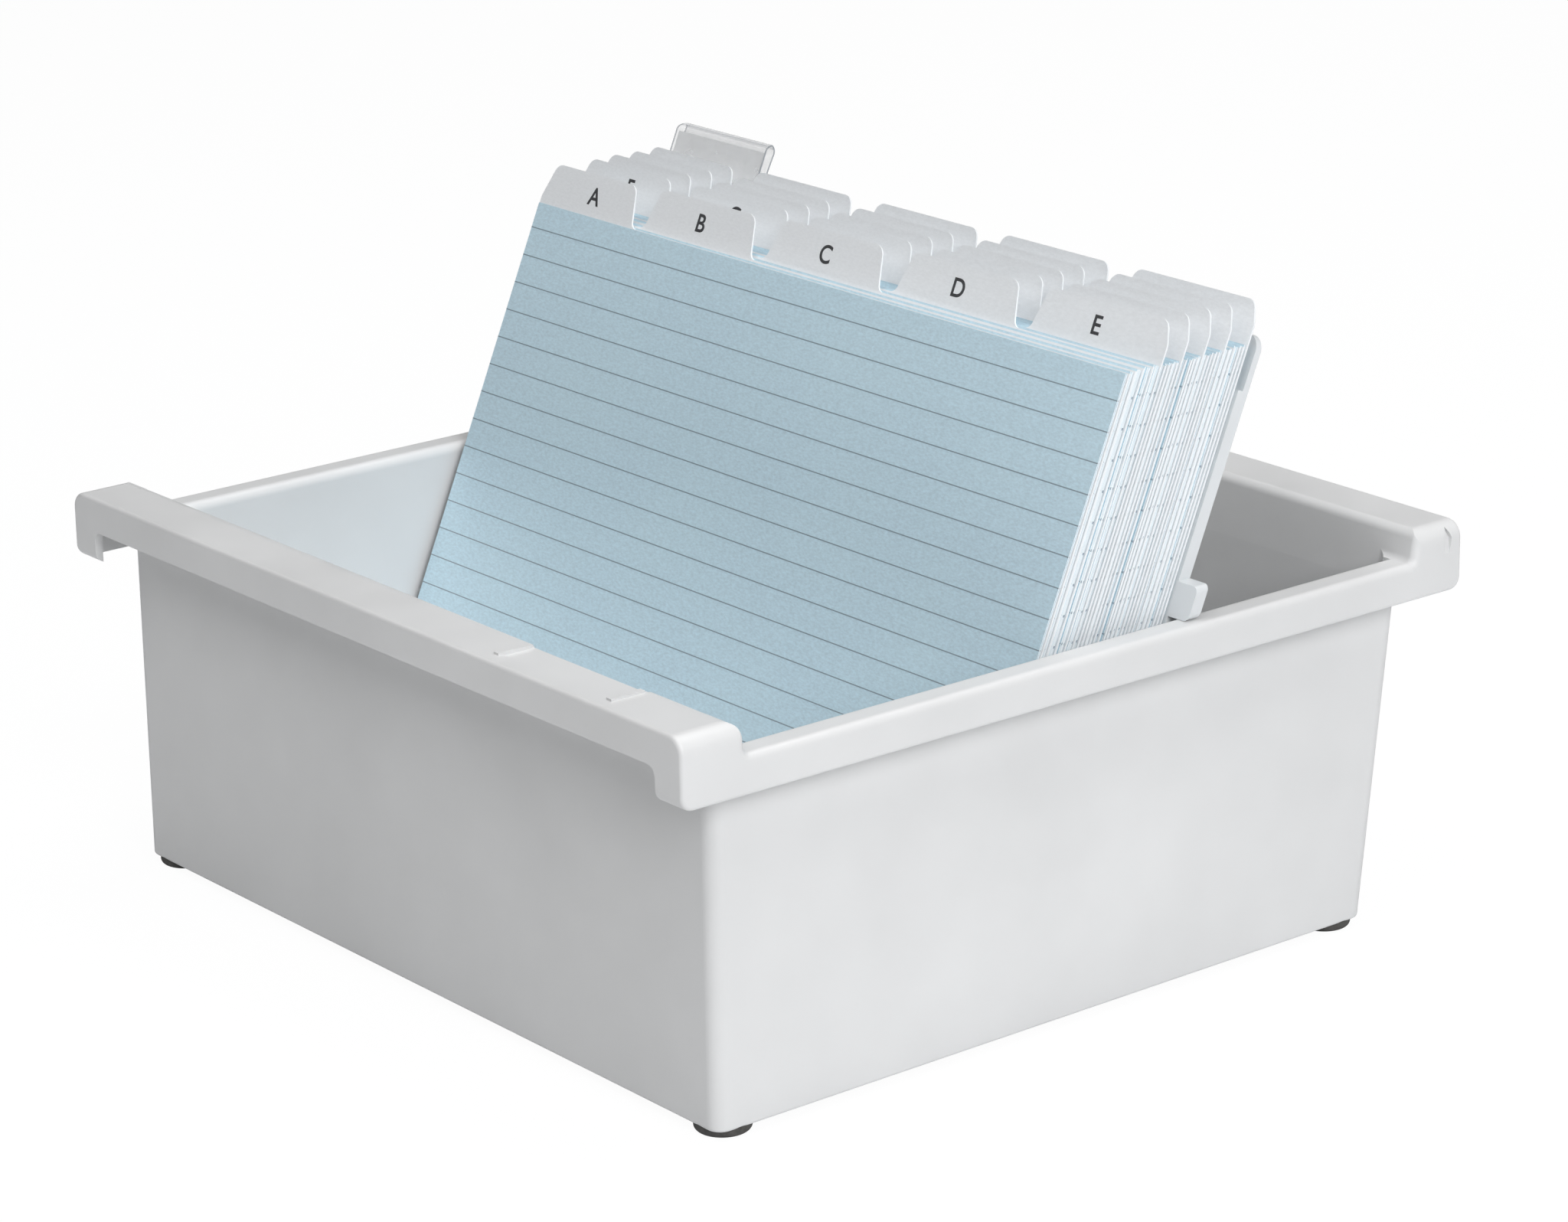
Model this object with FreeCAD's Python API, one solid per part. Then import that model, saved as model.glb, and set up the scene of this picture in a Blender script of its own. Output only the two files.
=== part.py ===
"""Index card drawer: a moulded desk tray for A5 landscape cards.

Axes: +X to the right along the front rail, +Y to the rear, +Z up.
Origin: middle of the footprint, at the underside of the rubber feet. Millimetres.
"""
import FreeCAD
import Part
import math
import os

Vector = FreeCAD.Vector

# ---------------------------------------------------------------- tray, outside
TRAY_DEPTH = 222.5            # over the front and rear rails
SIDE_CLEARANCE = 1.8          # a guide's side edge to the wall's inner face
RIM_OVERHANG = 5.75           # wall's outer face to the turned-down rim's outer face
FRONT_OVERHANG = 11.65        # front rail's face to the front wall's outer face
REAR_OVERHANG = 11.75         # rear rail's face to the rear wall at rail height
REAR_LEAN_DEG = 7.05          # the rear wall leans outwards
WALL_HEIGHT = 91.1            # underside of the walls to the top of the rails
RIM_DROP = 7.1                # side rims lie this far below the rails
FOOT_PROUD = 2.0              # how far the feet stand out below the walls

WALL = 2.2                    # wall thickness
SKIRT = 2.0                   # thickness of the turned-down edges
RIM_SKIRT_DEPTH = 8.8         # side rim's top to its lower edge
RAIL_SKIRT_DEPTH = 8.1        # rail's top to its lower edge between the corner blocks
BLOCK_WIDTH = 8.9             # corner block, along the rail
BLOCK_RADIUS = 2.5            # concave corner between block and rail edge
BLOCK_FOOT_RADIUS = 3.0       # rounded lower edge of the rails at the blocks
RAIL_END_RADIUS = 4.0         # rail top to its end face
RAIL_EDGE_RADIUS = 1.0        # long top edge of the rails
RIM_EDGE_RADIUS = 1.9         # outer top edge of the side rims
RIM_INNER_RADIUS = 2.2        # inner top edge of the side rims
FRONT_ROLL_RADIUS = 4.0       # front rail's top rolling down to the side rims
FRONT_ROLL_SET = 1.4          # how far the roll starts ahead of the wall's inner face
REAR_ROLL_RADIUS = 2.2        # rear rail's inner top edge
RIM_FOOT_RADIUS = 1.5         # hollow corner between a rail end and the rim
BODY_CORNER_RADIUS = 3.5      # upright corners, outside
BOTTOM_EDGE_RADIUS = 0.8      # edge round the underside

# ---------------------------------------------------------------- tray, inside
FLOOR_HEIGHT = 4.5            # underside of the walls to the floor's upper face
FLOOR_THICKNESS = 2.0
REAR_WALL_FOOT = 2.4          # rear wall thickness at the floor, along Y
REAR_BAND_DEPTH = 13.7        # top band of the inner rear face, below the rail's top
REAR_BAND_SET = 2.3           # the band's run outwards over that depth
CAVITY_CORNER_RADIUS = 3.0
UNDER_RIB = 1.6               # stiffening ribs in the hollow under the floor
UNDER_RIBS_ALONG = 3
UNDER_RIBS_ACROSS = 3

# ---------------------------------------------------------------- label field, end recess
FIELD_LEFT = 48.5             # label field on the front rail, from the middle
FIELD_LENGTH = 37.5
FIELD_SINK = 0.3
FIELD_FRONT_LAND = 4.6        # plain strip left in front of the field
FIELD_NOTCH = 0.9             # the rail's inner edge steps back along the field
BAR_WIDTH = 1.6               # raised bars closing the field at both ends
BAR_HEIGHT = 0.5
BAR_LENGTH = 8.6
BAR_LEAD = 1.0                # bars start this far ahead of the field
RECESS_DEPTH = 2.0            # pointed pocket in the rear rail's end faces, at its tip
RECESS_WIDTH = 2.4
RECESS_HEIGHT = 5.9
RECESS_TOP = 0.9              # rail's top to the pocket's tip
RECESS_SET = 3.2              # rear rail's rear face to the pocket

# ---------------------------------------------------------------- feet
FOOT_DIAMETER = 12.5
FOOT_INSET = 6.5              # centre to the wall faces
FOOT_EDGE_RADIUS = 1.2
FOOT_POCKET = 0.8             # how deep a foot sits in its boss
FOOT_POCKET_CLEARANCE = 0.15
FOOT_BOSS_WALL = 1.4

# ---------------------------------------------------------------- card stack
LEAN_DEG = 23.48              # cards and plate lean back from upright
STACK_START = 55.95           # front wall's inner face to the first card, at the floor
CARD_WIDTH = 210.0
CARD_HEIGHT = 148.0
CARD_THICKNESS = 0.20
CARD_GAP = 0.02               # air between the sheets of one pack
SECTION_GAP = 0.16            # air between one section and the next
SEAT_GAP = 0.20               # lowest corner of a section above the floor
FRONT_CARDS = 1               # plain cards behind the ruled front card
GUIDE_OVERWIDTH = 1.0         # a guide is this much wider than a card
GUIDE_DROP = 0.5              # a guide's body is this much lower than a card
GUIDE_THICKNESS = 0.42
TAB_HEIGHT = 10.1
TAB_COLUMNS = 5
TAB_LEAD = 4.0                # the first tab's column starts this far off the guide
TAB_TRAIL = 1.0               # the last tab's column ends this far off the guide
TAB_GAP = 2.6                 # between the feet of neighbouring tabs
TAB_SLANT = 2.8               # each side of a tab leans in by this much
TAB_CORNER_RADIUS = 2.8
TAB_FOOT_RADIUS = 2.0
LEFT_SHOULDER = 1.7           # the first tab's left side rises straight by this much
RIGHT_SHOULDER = 4.7          # the last tab's right side rises straight by this much
RIGHT_SLANT = 2.0             # the last tab's right side then leans in by this much

# thickness of the pack of cards behind each guide
SECTIONS = (
    ("a", 0.85), ("b", 1.5), ("c", 2.0), ("d", 1.5), ("e", 0.65),
    ("f", 0.4), ("g", 0.4), ("h", 0.65), ("i", 0.4), ("j", 0.65),
    ("k", 0.85), ("l", 0.2), ("m", 0.4), ("n", 0.65), ("o", 0.85),
    ("p", 0.4), ("q", 0.4), ("r", 0.4), ("s", 0.65), ("t", 0.85),
    ("u", 0.65), ("v", 1.1), ("w", 0.4), ("xy", 0.4), ("z", 0.4),
)

# ---------------------------------------------------------------- support plate
PLATE_SIDE_CLEARANCE = 1.3    # the plate's side edge to the wall's inner face
PLATE_RISE = 2.5              # the plate's top edge above the first card's, along the lean
PLATE_THICKNESS = 3.1
PLATE_CORNER_RADIUS = 3.5
LIP_HEIGHT = 12.5             # thin lip along the top edge
LIP_THICKNESS = 1.7
EAR_SET = 3.05                # rim's outer face to the ear's end
EAR_ROOT = 1.0                # how far the ear runs into the plate's edge
EAR_HEIGHT = 7.2
EAR_RADIUS = 1.5
EAR_SEAT_GAP = 0.10           # ear above the side rim
PLATE_SEAT_GAP = 0.25         # plate's lowest corner above the floor
PANEL_THICKNESS = 1.8         # plate between its edge flanges
FLANGE_WIDTH = 3.0
PANEL_RIBS = 2
PANEL_RIB_WIDTH = 2.0

# ---------------------------------------------------------------- label window
WINDOW_WIDTH = 35.0
WINDOW_LEFT = 1.2             # plate's left edge to the window
WINDOW_RISE = 13.3            # plate's top edge to the window's top
WINDOW_SHEET = 0.45
WINDOW_BULGE = 2.6            # rear sheet behind the front sheet at the loop
WINDOW_LOOP = 2.4             # height of the loop's round top
WINDOW_NECK = 6.7             # window's top down to where the sheets draw together
WINDOW_GRIP = 9.0             # how far the legs reach below the plate's top edge
WINDOW_CLEARANCE = 0.10       # legs to the plate's lip
WINDOW_CORNER_RADIUS = 2.5
INSERT_THICKNESS = 0.20
INSERT_CLEARANCE = 0.12
INSERT_SIDE_GAP = 0.6         # window's end to the paper
INSERT_TOP_GAP = 2.4          # window's top to the paper

CUT_MARGIN = 1.0              # how far a cutter runs past what it cuts

# ================================================================ derived places
LEAN = math.radians(LEAN_DEG)
REAR_LEAN = math.radians(REAR_LEAN_DEG)
BAND_LEAN = math.atan(REAR_BAND_SET / REAR_BAND_DEPTH)
Z_BASE = FOOT_PROUD
Z_RAIL = Z_BASE + WALL_HEIGHT
Z_RIM = Z_RAIL - RIM_DROP
Z_RIM_LOWER = Z_RIM - RIM_SKIRT_DEPTH
Z_RAIL_LOWER = Z_RAIL - RAIL_SKIRT_DEPTH
Z_FLOOR = Z_BASE + FLOOR_HEIGHT
GUIDE_WIDTH = CARD_WIDTH + GUIDE_OVERWIDTH
GUIDE_HEIGHT = CARD_HEIGHT - GUIDE_DROP
TAB_PITCH = (GUIDE_WIDTH + TAB_LEAD + TAB_TRAIL) / TAB_COLUMNS
X_INNER = GUIDE_WIDTH / 2 + SIDE_CLEARANCE
X_WALL = X_INNER + WALL
X_RIM = X_WALL + RIM_OVERHANG
X_PLATE = X_INNER - PLATE_SIDE_CLEARANCE
X_EAR = X_RIM - EAR_SET
PLATE_TOP = CARD_HEIGHT + PLATE_RISE
Y_FRONT = -TRAY_DEPTH / 2
Y_REAR = TRAY_DEPTH / 2
Y_FRONT_WALL = Y_FRONT + FRONT_OVERHANG
Y_FRONT_INNER = Y_FRONT_WALL + WALL
Y_REAR_WALL_TOP = Y_REAR - REAR_OVERHANG
Y_REAR_INNER_TOP = Y_REAR_WALL_TOP - WALL
Y_STACK = Y_FRONT_INNER + STACK_START


def rear_wall_y(z):
    """Outer face of the leaning rear wall at height z."""
    return Y_REAR_WALL_TOP - (Z_RAIL - z) * math.tan(REAR_LEAN)


def rear_band_y(z):
    """Inner face of the rear wall's top band at height z."""
    return Y_REAR_INNER_TOP - (Z_RAIL - z) * math.tan(BAND_LEAN)


def rear_foot_centre():
    """Centre of the hollow corner between the rim and the rear rail, as (y, z)."""
    r = RIM_FOOT_RADIUS
    touch = Z_RIM + r - r * math.sin(BAND_LEAN)
    return (rear_band_y(touch) - r * math.cos(BAND_LEAN), Z_RIM + r)


def rear_roll_start():
    """Where the band meets the rear rail's rounded inner edge, as (y, z)."""
    z = Z_RAIL - REAR_ROLL_RADIUS * (1 - math.sin(BAND_LEAN))
    return (rear_band_y(z), z)


# ================================================================ small tools
def yz_wire(path):
    """Closed wire in the plane x = 0 from (kind, points...) steps of (y, z) pairs."""
    edges = []
    here = path[0]
    for step in path[1:]:
        if len(step) == 2:
            edges.append(Part.LineSegment(Vector(0, *here), Vector(0, *step)).toShape())
            here = step
        else:
            mid, end = step[0], step[1]
            arc = Part.Arc(Vector(0, *here), Vector(0, *mid), Vector(0, *end))
            edges.append(arc.toShape())
            here = end
    if here != path[0]:
        edges.append(Part.LineSegment(Vector(0, *here), Vector(0, *path[0])).toShape())
    return Part.Wire(edges)


def corner(centre, radius, angle_from, angle_to):
    """Arc step: a (middle, end, marker) triple round a centre, angles in degrees."""
    middle = math.radians((angle_from + angle_to) / 2)
    last = math.radians(angle_to)
    mid = (centre[0] + radius * math.cos(middle), centre[1] + radius * math.sin(middle))
    end = (centre[0] + radius * math.cos(last), centre[1] + radius * math.sin(last))
    return (mid, end, "arc")


def along_x(path, half_width):
    """Solid of a (y, z) outline, run along X to both sides of the middle."""
    face = Part.Face(yz_wire(path))
    face.translate(Vector(-half_width, 0, 0))
    return face.extrude(Vector(2 * half_width, 0, 0))


def box(x0, x1, y0, y1, z0, z1):
    """Box between two corners."""
    return Part.makeBox(x1 - x0, y1 - y0, z1 - z0, Vector(x0, y0, z0))


def edges_where(shape, test):
    """Edges whose middle point and direction pass a test."""
    found = []
    for edge in shape.Edges:
        point = edge.valueAt((edge.FirstParameter + edge.LastParameter) / 2)
        start = edge.valueAt(edge.FirstParameter)
        end = edge.valueAt(edge.LastParameter)
        run = end - start
        if run.Length > 1e-6 and test(point, run.normalize(), edge):
            found.append(edge)
    return found


def mirrored(shape):
    """Copy on the other side of the plane x = 0."""
    return shape.mirror(Vector(0, 0, 0), Vector(1, 0, 0))


def to_lean(shape):
    """Turn a shape drawn as (x, depth, height) into the lean of the cards.

    In the drawing frame X is across, Y is the depth behind the first card's face and Z
    runs up the card from the floor line.
    """
    turned = shape.copy()
    turned.rotate(Vector(0, 0, 0), Vector(1, 0, 0), -LEAN_DEG)
    turned.translate(Vector(0, Y_STACK, Z_FLOOR))
    return turned


def floor_offset(depth, gap):
    """Height up the lean at which a corner at this depth stands gap above the floor."""
    return (gap + depth * math.sin(LEAN)) / math.cos(LEAN)


# ================================================================ tray
def rim_outline():
    """Side view of the rails and rims together, as a (y, z) outline."""
    front_top = Y_FRONT_INNER - FRONT_ROLL_SET
    front_drop = front_top + FRONT_ROLL_RADIUS
    foot = rear_foot_centre()
    start = rear_roll_start()
    roll = (start[0] + REAR_ROLL_RADIUS * math.cos(BAND_LEAN), Z_RAIL - REAR_ROLL_RADIUS)
    lean = math.degrees(BAND_LEAN)
    return [
        (Y_FRONT, Z_RIM_LOWER + BLOCK_FOOT_RADIUS),
        (Y_FRONT, Z_RAIL),
        (front_top, Z_RAIL),
        corner((front_top, Z_RAIL - FRONT_ROLL_RADIUS), FRONT_ROLL_RADIUS, 90, 0),
        (front_drop, Z_RIM + RIM_FOOT_RADIUS),
        corner((front_drop + RIM_FOOT_RADIUS, Z_RIM + RIM_FOOT_RADIUS),
               RIM_FOOT_RADIUS, 180, 270),
        (foot[0], Z_RIM),
        corner(foot, RIM_FOOT_RADIUS, 270, 360 - lean),
        start,
        corner(roll, REAR_ROLL_RADIUS, 180 - lean, 90),
        (Y_REAR, Z_RAIL),
        (Y_REAR, Z_RIM_LOWER + BLOCK_FOOT_RADIUS),
        corner((Y_REAR - BLOCK_FOOT_RADIUS, Z_RIM_LOWER + BLOCK_FOOT_RADIUS),
               BLOCK_FOOT_RADIUS, 0, -90),
        (Y_FRONT + BLOCK_FOOT_RADIUS, Z_RIM_LOWER),
        corner((Y_FRONT + BLOCK_FOOT_RADIUS, Z_RIM_LOWER + BLOCK_FOOT_RADIUS),
               BLOCK_FOOT_RADIUS, 270, 180),
    ]


def rim_solid():
    """Rails and rims as one solid block with its outer roundings."""
    block = along_x(rim_outline(), X_RIM)
    end_tops = edges_where(
        block, lambda p, d, e: abs(abs(p.x) - X_RIM) < 1e-4
        and Y_FRONT < p.y < Y_REAR and p.z > Z_RIM - 1e-3)
    block = block.makeFillet(RIM_EDGE_RADIUS, end_tops)
    rounded = box(-X_RIM, X_RIM, Y_FRONT - CUT_MARGIN, Y_REAR + CUT_MARGIN,
                  Z_RIM_LOWER - CUT_MARGIN, Z_RAIL)
    rail_tops = edges_where(
        rounded, lambda p, d, e: abs(d.y) > 0.9 and abs(p.z - Z_RAIL) < 1e-4)
    block = block.common(rounded.makeFillet(RAIL_END_RADIUS, rail_tops))
    faces = edges_where(
        block, lambda p, d, e: e.BoundBox.YLength < 1e-4
        and (abs(p.y - Y_FRONT) < 1e-4 or abs(p.y - Y_REAR) < 1e-4)
        and p.z > Z_RIM_LOWER + BLOCK_FOOT_RADIUS + 0.1)
    return block.makeFillet(RAIL_EDGE_RADIUS, faces)


def body_outline(top):
    """Side view of the walls' outer faces, as a (y, z) outline."""
    return [
        (Y_FRONT_WALL, Z_BASE),
        (Y_FRONT_WALL, top),
        (rear_wall_y(top), top),
        (rear_wall_y(Z_BASE), Z_BASE),
    ]


def wall_block(top):
    """Outer block of the walls, with rounded upright corners."""
    block = along_x(body_outline(top), X_WALL)
    upright = edges_where(block, lambda p, d, e: abs(d.z) > 0.9)
    block = block.makeFillet(BODY_CORNER_RADIUS, upright)
    bottom = edges_where(block, lambda p, d, e: abs(e.BoundBox.ZMax - Z_BASE) < 1e-3)
    return block.makeFillet(BOTTOM_EDGE_RADIUS, bottom)


def cavity_block():
    """The space inside the walls, above the floor."""
    band_z = Z_RAIL - REAR_BAND_DEPTH
    above = Z_RAIL + BODY_CORNER_RADIUS
    start = rear_roll_start()
    outline = [
        (Y_FRONT_INNER, Z_FLOOR),
        (Y_FRONT_INNER, above),
        (start[0], above),
        start,
        (rear_band_y(band_z), band_z),
        (rear_wall_y(Z_FLOOR) - REAR_WALL_FOOT, Z_FLOOR),
    ]
    block = along_x(outline, X_INNER)
    upright = edges_where(block, lambda p, d, e: abs(d.z) > 0.9)
    return block.makeFillet(CAVITY_CORNER_RADIUS, upright)


def channel_block():
    """The hollow on the underside of the rims and rails, open downwards."""
    inner_x = X_RIM - SKIRT
    front = Y_FRONT + SKIRT
    rear = Y_REAR - SKIRT
    low = Z_BASE
    side = box(-inner_x, inner_x, front, rear, low, Z_RIM - WALL)
    front_part = box(-inner_x, inner_x, front, Y_FRONT_WALL + WALL, low, Z_RAIL - WALL)
    rear_part = box(-inner_x, inner_x, Y_REAR_INNER_TOP + WALL, rear, low, Z_RAIL - WALL)
    return side.fuse([front_part, rear_part])


def rim_inner_rounding():
    """Cutter that rounds the right-hand rim's inner top edge."""
    r = RIM_INNER_RADIUS
    y0 = Y_FRONT_INNER - FRONT_ROLL_SET + FRONT_ROLL_RADIUS + RIM_FOOT_RADIUS
    y1 = rear_foot_centre()[0]
    square = box(X_INNER - CUT_MARGIN, X_INNER + r, y0, y1, Z_RIM - r, Z_RIM + CUT_MARGIN)
    round_bar = Part.makeCylinder(r, y1 - y0, Vector(X_INNER + r, y0, Z_RIM - r),
                                  Vector(0, 1, 0))
    return square.cut(round_bar)


def rail_edge_cut(face_y, outer):
    """Cutter that lifts the rail's lower edge between two corner blocks.

    face_y is the skirt's outer face; outer is -1 at the front and +1 at the rear.
    """
    half = X_RIM - BLOCK_WIDTH
    near = face_y + outer * CUT_MARGIN
    far = face_y - outer * (SKIRT + CUT_MARGIN)
    low_z = Z_RIM_LOWER - CUT_MARGIN
    cutter = box(-half, half, min(near, far), max(near, far), low_z, Z_RAIL_LOWER)
    top_ends = edges_where(
        cutter, lambda p, d, e: abs(abs(p.x) - half) < 1e-4
        and abs(p.z - Z_RAIL_LOWER) < 1e-4 and abs(d.y) > 0.9)
    return cutter.makeFillet(BLOCK_RADIUS, top_ends)


def under_floor():
    """Hollow below the floor, less the stiffening ribs and foot bosses."""
    top = Z_FLOOR - FLOOR_THICKNESS
    x = X_INNER
    y0 = Y_FRONT_INNER
    y1 = rear_wall_y(Z_BASE) - WALL
    hollow = box(-x, x, y0, y1, Z_BASE - CUT_MARGIN, top)
    keep = []
    for i in range(UNDER_RIBS_ALONG):
        at = -x + 2 * x * (i + 1) / (UNDER_RIBS_ALONG + 1)
        keep.append(box(at - UNDER_RIB / 2, at + UNDER_RIB / 2, y0, y1, Z_BASE, top))
    for i in range(UNDER_RIBS_ACROSS):
        at = y0 + (y1 - y0) * (i + 1) / (UNDER_RIBS_ACROSS + 1)
        keep.append(box(-x, x, at - UNDER_RIB / 2, at + UNDER_RIB / 2, Z_BASE, top))
    boss_radius = FOOT_DIAMETER / 2 + FOOT_POCKET_CLEARANCE + FOOT_BOSS_WALL
    for _, fx, fy in foot_places():
        keep.append(Part.makeCylinder(boss_radius, top - Z_BASE, Vector(fx, fy, Z_BASE)))
    return hollow.cut(keep)


def foot_places():
    """Name and centre of each foot."""
    x = X_WALL - FOOT_INSET
    front = Y_FRONT_WALL + FOOT_INSET
    rear = rear_wall_y(Z_BASE) - FOOT_INSET
    return (
        ("foot_front_left", -x, front),
        ("foot_front_right", x, front),
        ("foot_rear_left", -x, rear),
        ("foot_rear_right", x, rear),
    )


def foot_pocket(fx, fy):
    """Pocket in the tray's underside that a foot sits in."""
    radius = FOOT_DIAMETER / 2 + FOOT_POCKET_CLEARANCE
    return Part.makeCylinder(radius, FOOT_POCKET + CUT_MARGIN,
                             Vector(fx, fy, Z_BASE - CUT_MARGIN))


def field_bars():
    """The two raised bars that close the label field."""
    y0 = Y_FRONT + FIELD_FRONT_LAND - BAR_LEAD
    bars = []
    for at in (FIELD_LEFT - BAR_WIDTH / 2, FIELD_LEFT + FIELD_LENGTH + BAR_WIDTH / 2):
        bar = box(at - BAR_WIDTH / 2, at + BAR_WIDTH / 2, y0, y0 + BAR_LENGTH,
                  Z_RAIL - WALL / 2, Z_RAIL + BAR_HEIGHT)
        bars.append(bar)
    return bars


def field_cuts():
    """The sunk label field and the step in the rail's inner edge beside it."""
    x0 = FIELD_LEFT
    x1 = FIELD_LEFT + FIELD_LENGTH
    field = box(x0, x1, Y_FRONT + FIELD_FRONT_LAND, Y_FRONT_INNER + CUT_MARGIN,
                Z_RAIL - FIELD_SINK, Z_RAIL + CUT_MARGIN)
    notch = box(x0 - BAR_WIDTH, x1 + BAR_WIDTH, Y_FRONT_INNER - FIELD_NOTCH,
                Y_FRONT_INNER + CUT_MARGIN, Z_RAIL - FIELD_NOTCH, Z_RAIL + CUT_MARGIN)
    return [field, notch]


def end_recess():
    """Pointed blind pocket in the right-hand end face of the rear rail."""
    y_tip = Y_REAR - RECESS_SET - RECESS_WIDTH / 2
    z_tip = Z_RAIL - RECESS_TOP
    z_low = z_tip - RECESS_HEIGHT
    wide = z_tip - RECESS_HEIGHT * 0.4
    x = X_RIM + CUT_MARGIN
    points = [
        Vector(x, y_tip, z_tip),
        Vector(x, y_tip + RECESS_WIDTH / 2, wide),
        Vector(x, y_tip + RECESS_WIDTH / 6, z_low),
        Vector(x, y_tip - RECESS_WIDTH / 2, z_low),
        Vector(x, y_tip - RECESS_WIDTH / 2, wide),
        Vector(x, y_tip, z_tip),
    ]
    face = Part.Face(Part.makePolygon(points))
    pocket = face.extrude(Vector(-(RECESS_DEPTH + CUT_MARGIN), 0, 0))
    y = y_tip - RECESS_WIDTH
    scoop = Part.makePolygon([
        Vector(x, y, z_low),
        Vector(X_RIM, y, z_low),
        Vector(X_RIM - RECESS_DEPTH, y, z_tip),
        Vector(x, y, z_tip),
        Vector(x, y, z_low),
    ])
    return pocket.common(Part.Face(scoop).extrude(Vector(0, 2 * RECESS_WIDTH, 0)))


def make_tray():
    """The whole moulded tray."""
    channel = channel_block()
    walls = wall_block(Z_RAIL)
    rims = rim_solid()
    inside_walls = wall_block(Z_RAIL + CUT_MARGIN)
    rims = rims.cut(channel.cut(inside_walls))
    rims = rims.cut([rail_edge_cut(Y_FRONT, -1), rail_edge_cut(Y_REAR, 1)])
    profile = along_x(wall_profile(), X_WALL + CUT_MARGIN)
    tray = walls.common(profile).fuse(rims)
    tray = tray.cut(cavity_block())
    pockets = [foot_pocket(fx, fy) for _, fx, fy in foot_places()]
    rounding = rim_inner_rounding()
    tray = tray.cut([under_floor(), rounding, mirrored(rounding)] + pockets + field_cuts())
    tray = tray.fuse(field_bars())
    recess = end_recess()
    return tray.cut([recess, mirrored(recess)]).removeSplitter()


def wall_profile():
    """Side view that keeps the walls below the rails and rims' upper faces."""
    outline = rim_outline()
    low = Z_BASE - CUT_MARGIN
    upper = outline[1:11]
    return [(Y_FRONT, low)] + upper + [(Y_REAR, low)]


def make_foot(fx, fy):
    """One round rubber foot with a rounded lower edge."""
    foot = Part.makeCylinder(FOOT_DIAMETER / 2, FOOT_PROUD + FOOT_POCKET, Vector(fx, fy, 0))
    low = edges_where_circle(foot, 0.0)
    return foot.makeFillet(FOOT_EDGE_RADIUS, low)


def edges_where_circle(shape, z):
    """Closed edges that lie at height z."""
    return [e for e in shape.Edges
            if abs(e.BoundBox.ZMin - z) < 1e-6 and abs(e.BoundBox.ZMax - z) < 1e-6]


# ================================================================ cards and guides
def sheet(width, depth, thickness, low, height):
    """One plain sheet in the drawing frame."""
    return box(-width / 2, width / 2, depth, depth + thickness, low, low + height)


def rounded_outline(points, radii):
    """Closed outline in the (x, z) plane with a radius at each corner."""
    count = len(points)
    cuts = []
    for i in range(count):
        here = Vector(points[i][0], 0, points[i][1])
        before = Vector(points[i - 1][0], 0, points[i - 1][1])
        after = Vector(points[(i + 1) % count][0], 0, points[(i + 1) % count][1])
        back = (before - here).normalize()
        ahead = (after - here).normalize()
        radius = radii[i]
        if radius <= 0:
            cuts.append((here, None, here))
            continue
        half = back.getAngle(ahead) / 2
        reach = radius / math.tan(half)
        bisector = (back + ahead).normalize()
        centre = here + bisector * (radius / math.sin(half))
        middle = centre - bisector * radius
        cuts.append((here + back * reach, middle, here + ahead * reach))
    edges = []
    for i in range(count):
        start, middle, end = cuts[i]
        if middle is not None:
            edges.append(Part.Arc(start, middle, end).toShape())
        following = cuts[(i + 1) % count][0]
        if (following - end).Length > 1e-6:
            edges.append(Part.LineSegment(end, following).toShape())
    return Part.Wire(edges)


def guide_points(column, low):
    """Corner points and radii of a guide with its tab in one of the columns."""
    half = GUIDE_WIDTH / 2
    top = low + GUIDE_HEIGHT
    tip = top + TAB_HEIGHT
    left = -half - TAB_LEAD + TAB_PITCH * column
    right = left + TAB_PITCH - TAB_GAP
    points = [(-half, low), (half, low)]
    radii = [0, 0]
    if column == TAB_COLUMNS - 1:
        points += [(half, top + RIGHT_SHOULDER), (half - RIGHT_SLANT, tip)]
        radii += [TAB_CORNER_RADIUS, TAB_CORNER_RADIUS]
    else:
        points += [(half, top), (right, top), (right - TAB_SLANT, tip)]
        radii += [0, TAB_FOOT_RADIUS, TAB_CORNER_RADIUS]
    if column == 0:
        points += [(TAB_SLANT - half, tip), (-half, top + LEFT_SHOULDER)]
        radii += [TAB_CORNER_RADIUS, TAB_CORNER_RADIUS]
    else:
        points += [(left + TAB_SLANT, tip), (left, top), (-half, top)]
        radii += [TAB_CORNER_RADIUS, TAB_FOOT_RADIUS, 0]
    return points, radii


def make_guide(column, depth, low):
    """One guide sheet with its tab, in the drawing frame."""
    points, radii = guide_points(column, low)
    face = Part.Face(rounded_outline(points, radii))
    face.translate(Vector(0, depth, 0))
    return face.extrude(Vector(0, GUIDE_THICKNESS, 0))


def make_pack(count, depth, low):
    """A pack of cards as separate sheets, in the drawing frame."""
    pitch = CARD_THICKNESS + CARD_GAP
    sheets = [sheet(CARD_WIDTH, depth + i * pitch, CARD_THICKNESS, low, CARD_HEIGHT)
              for i in range(count)]
    return Part.makeCompound(sheets)


def pack_depth(count):
    """Thickness of a pack of cards."""
    return count * CARD_THICKNESS + (count - 1) * CARD_GAP


def card_count(thickness):
    """How many cards make a pack of about this thickness."""
    return round((thickness + CARD_GAP) / (CARD_THICKNESS + CARD_GAP))


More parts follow.
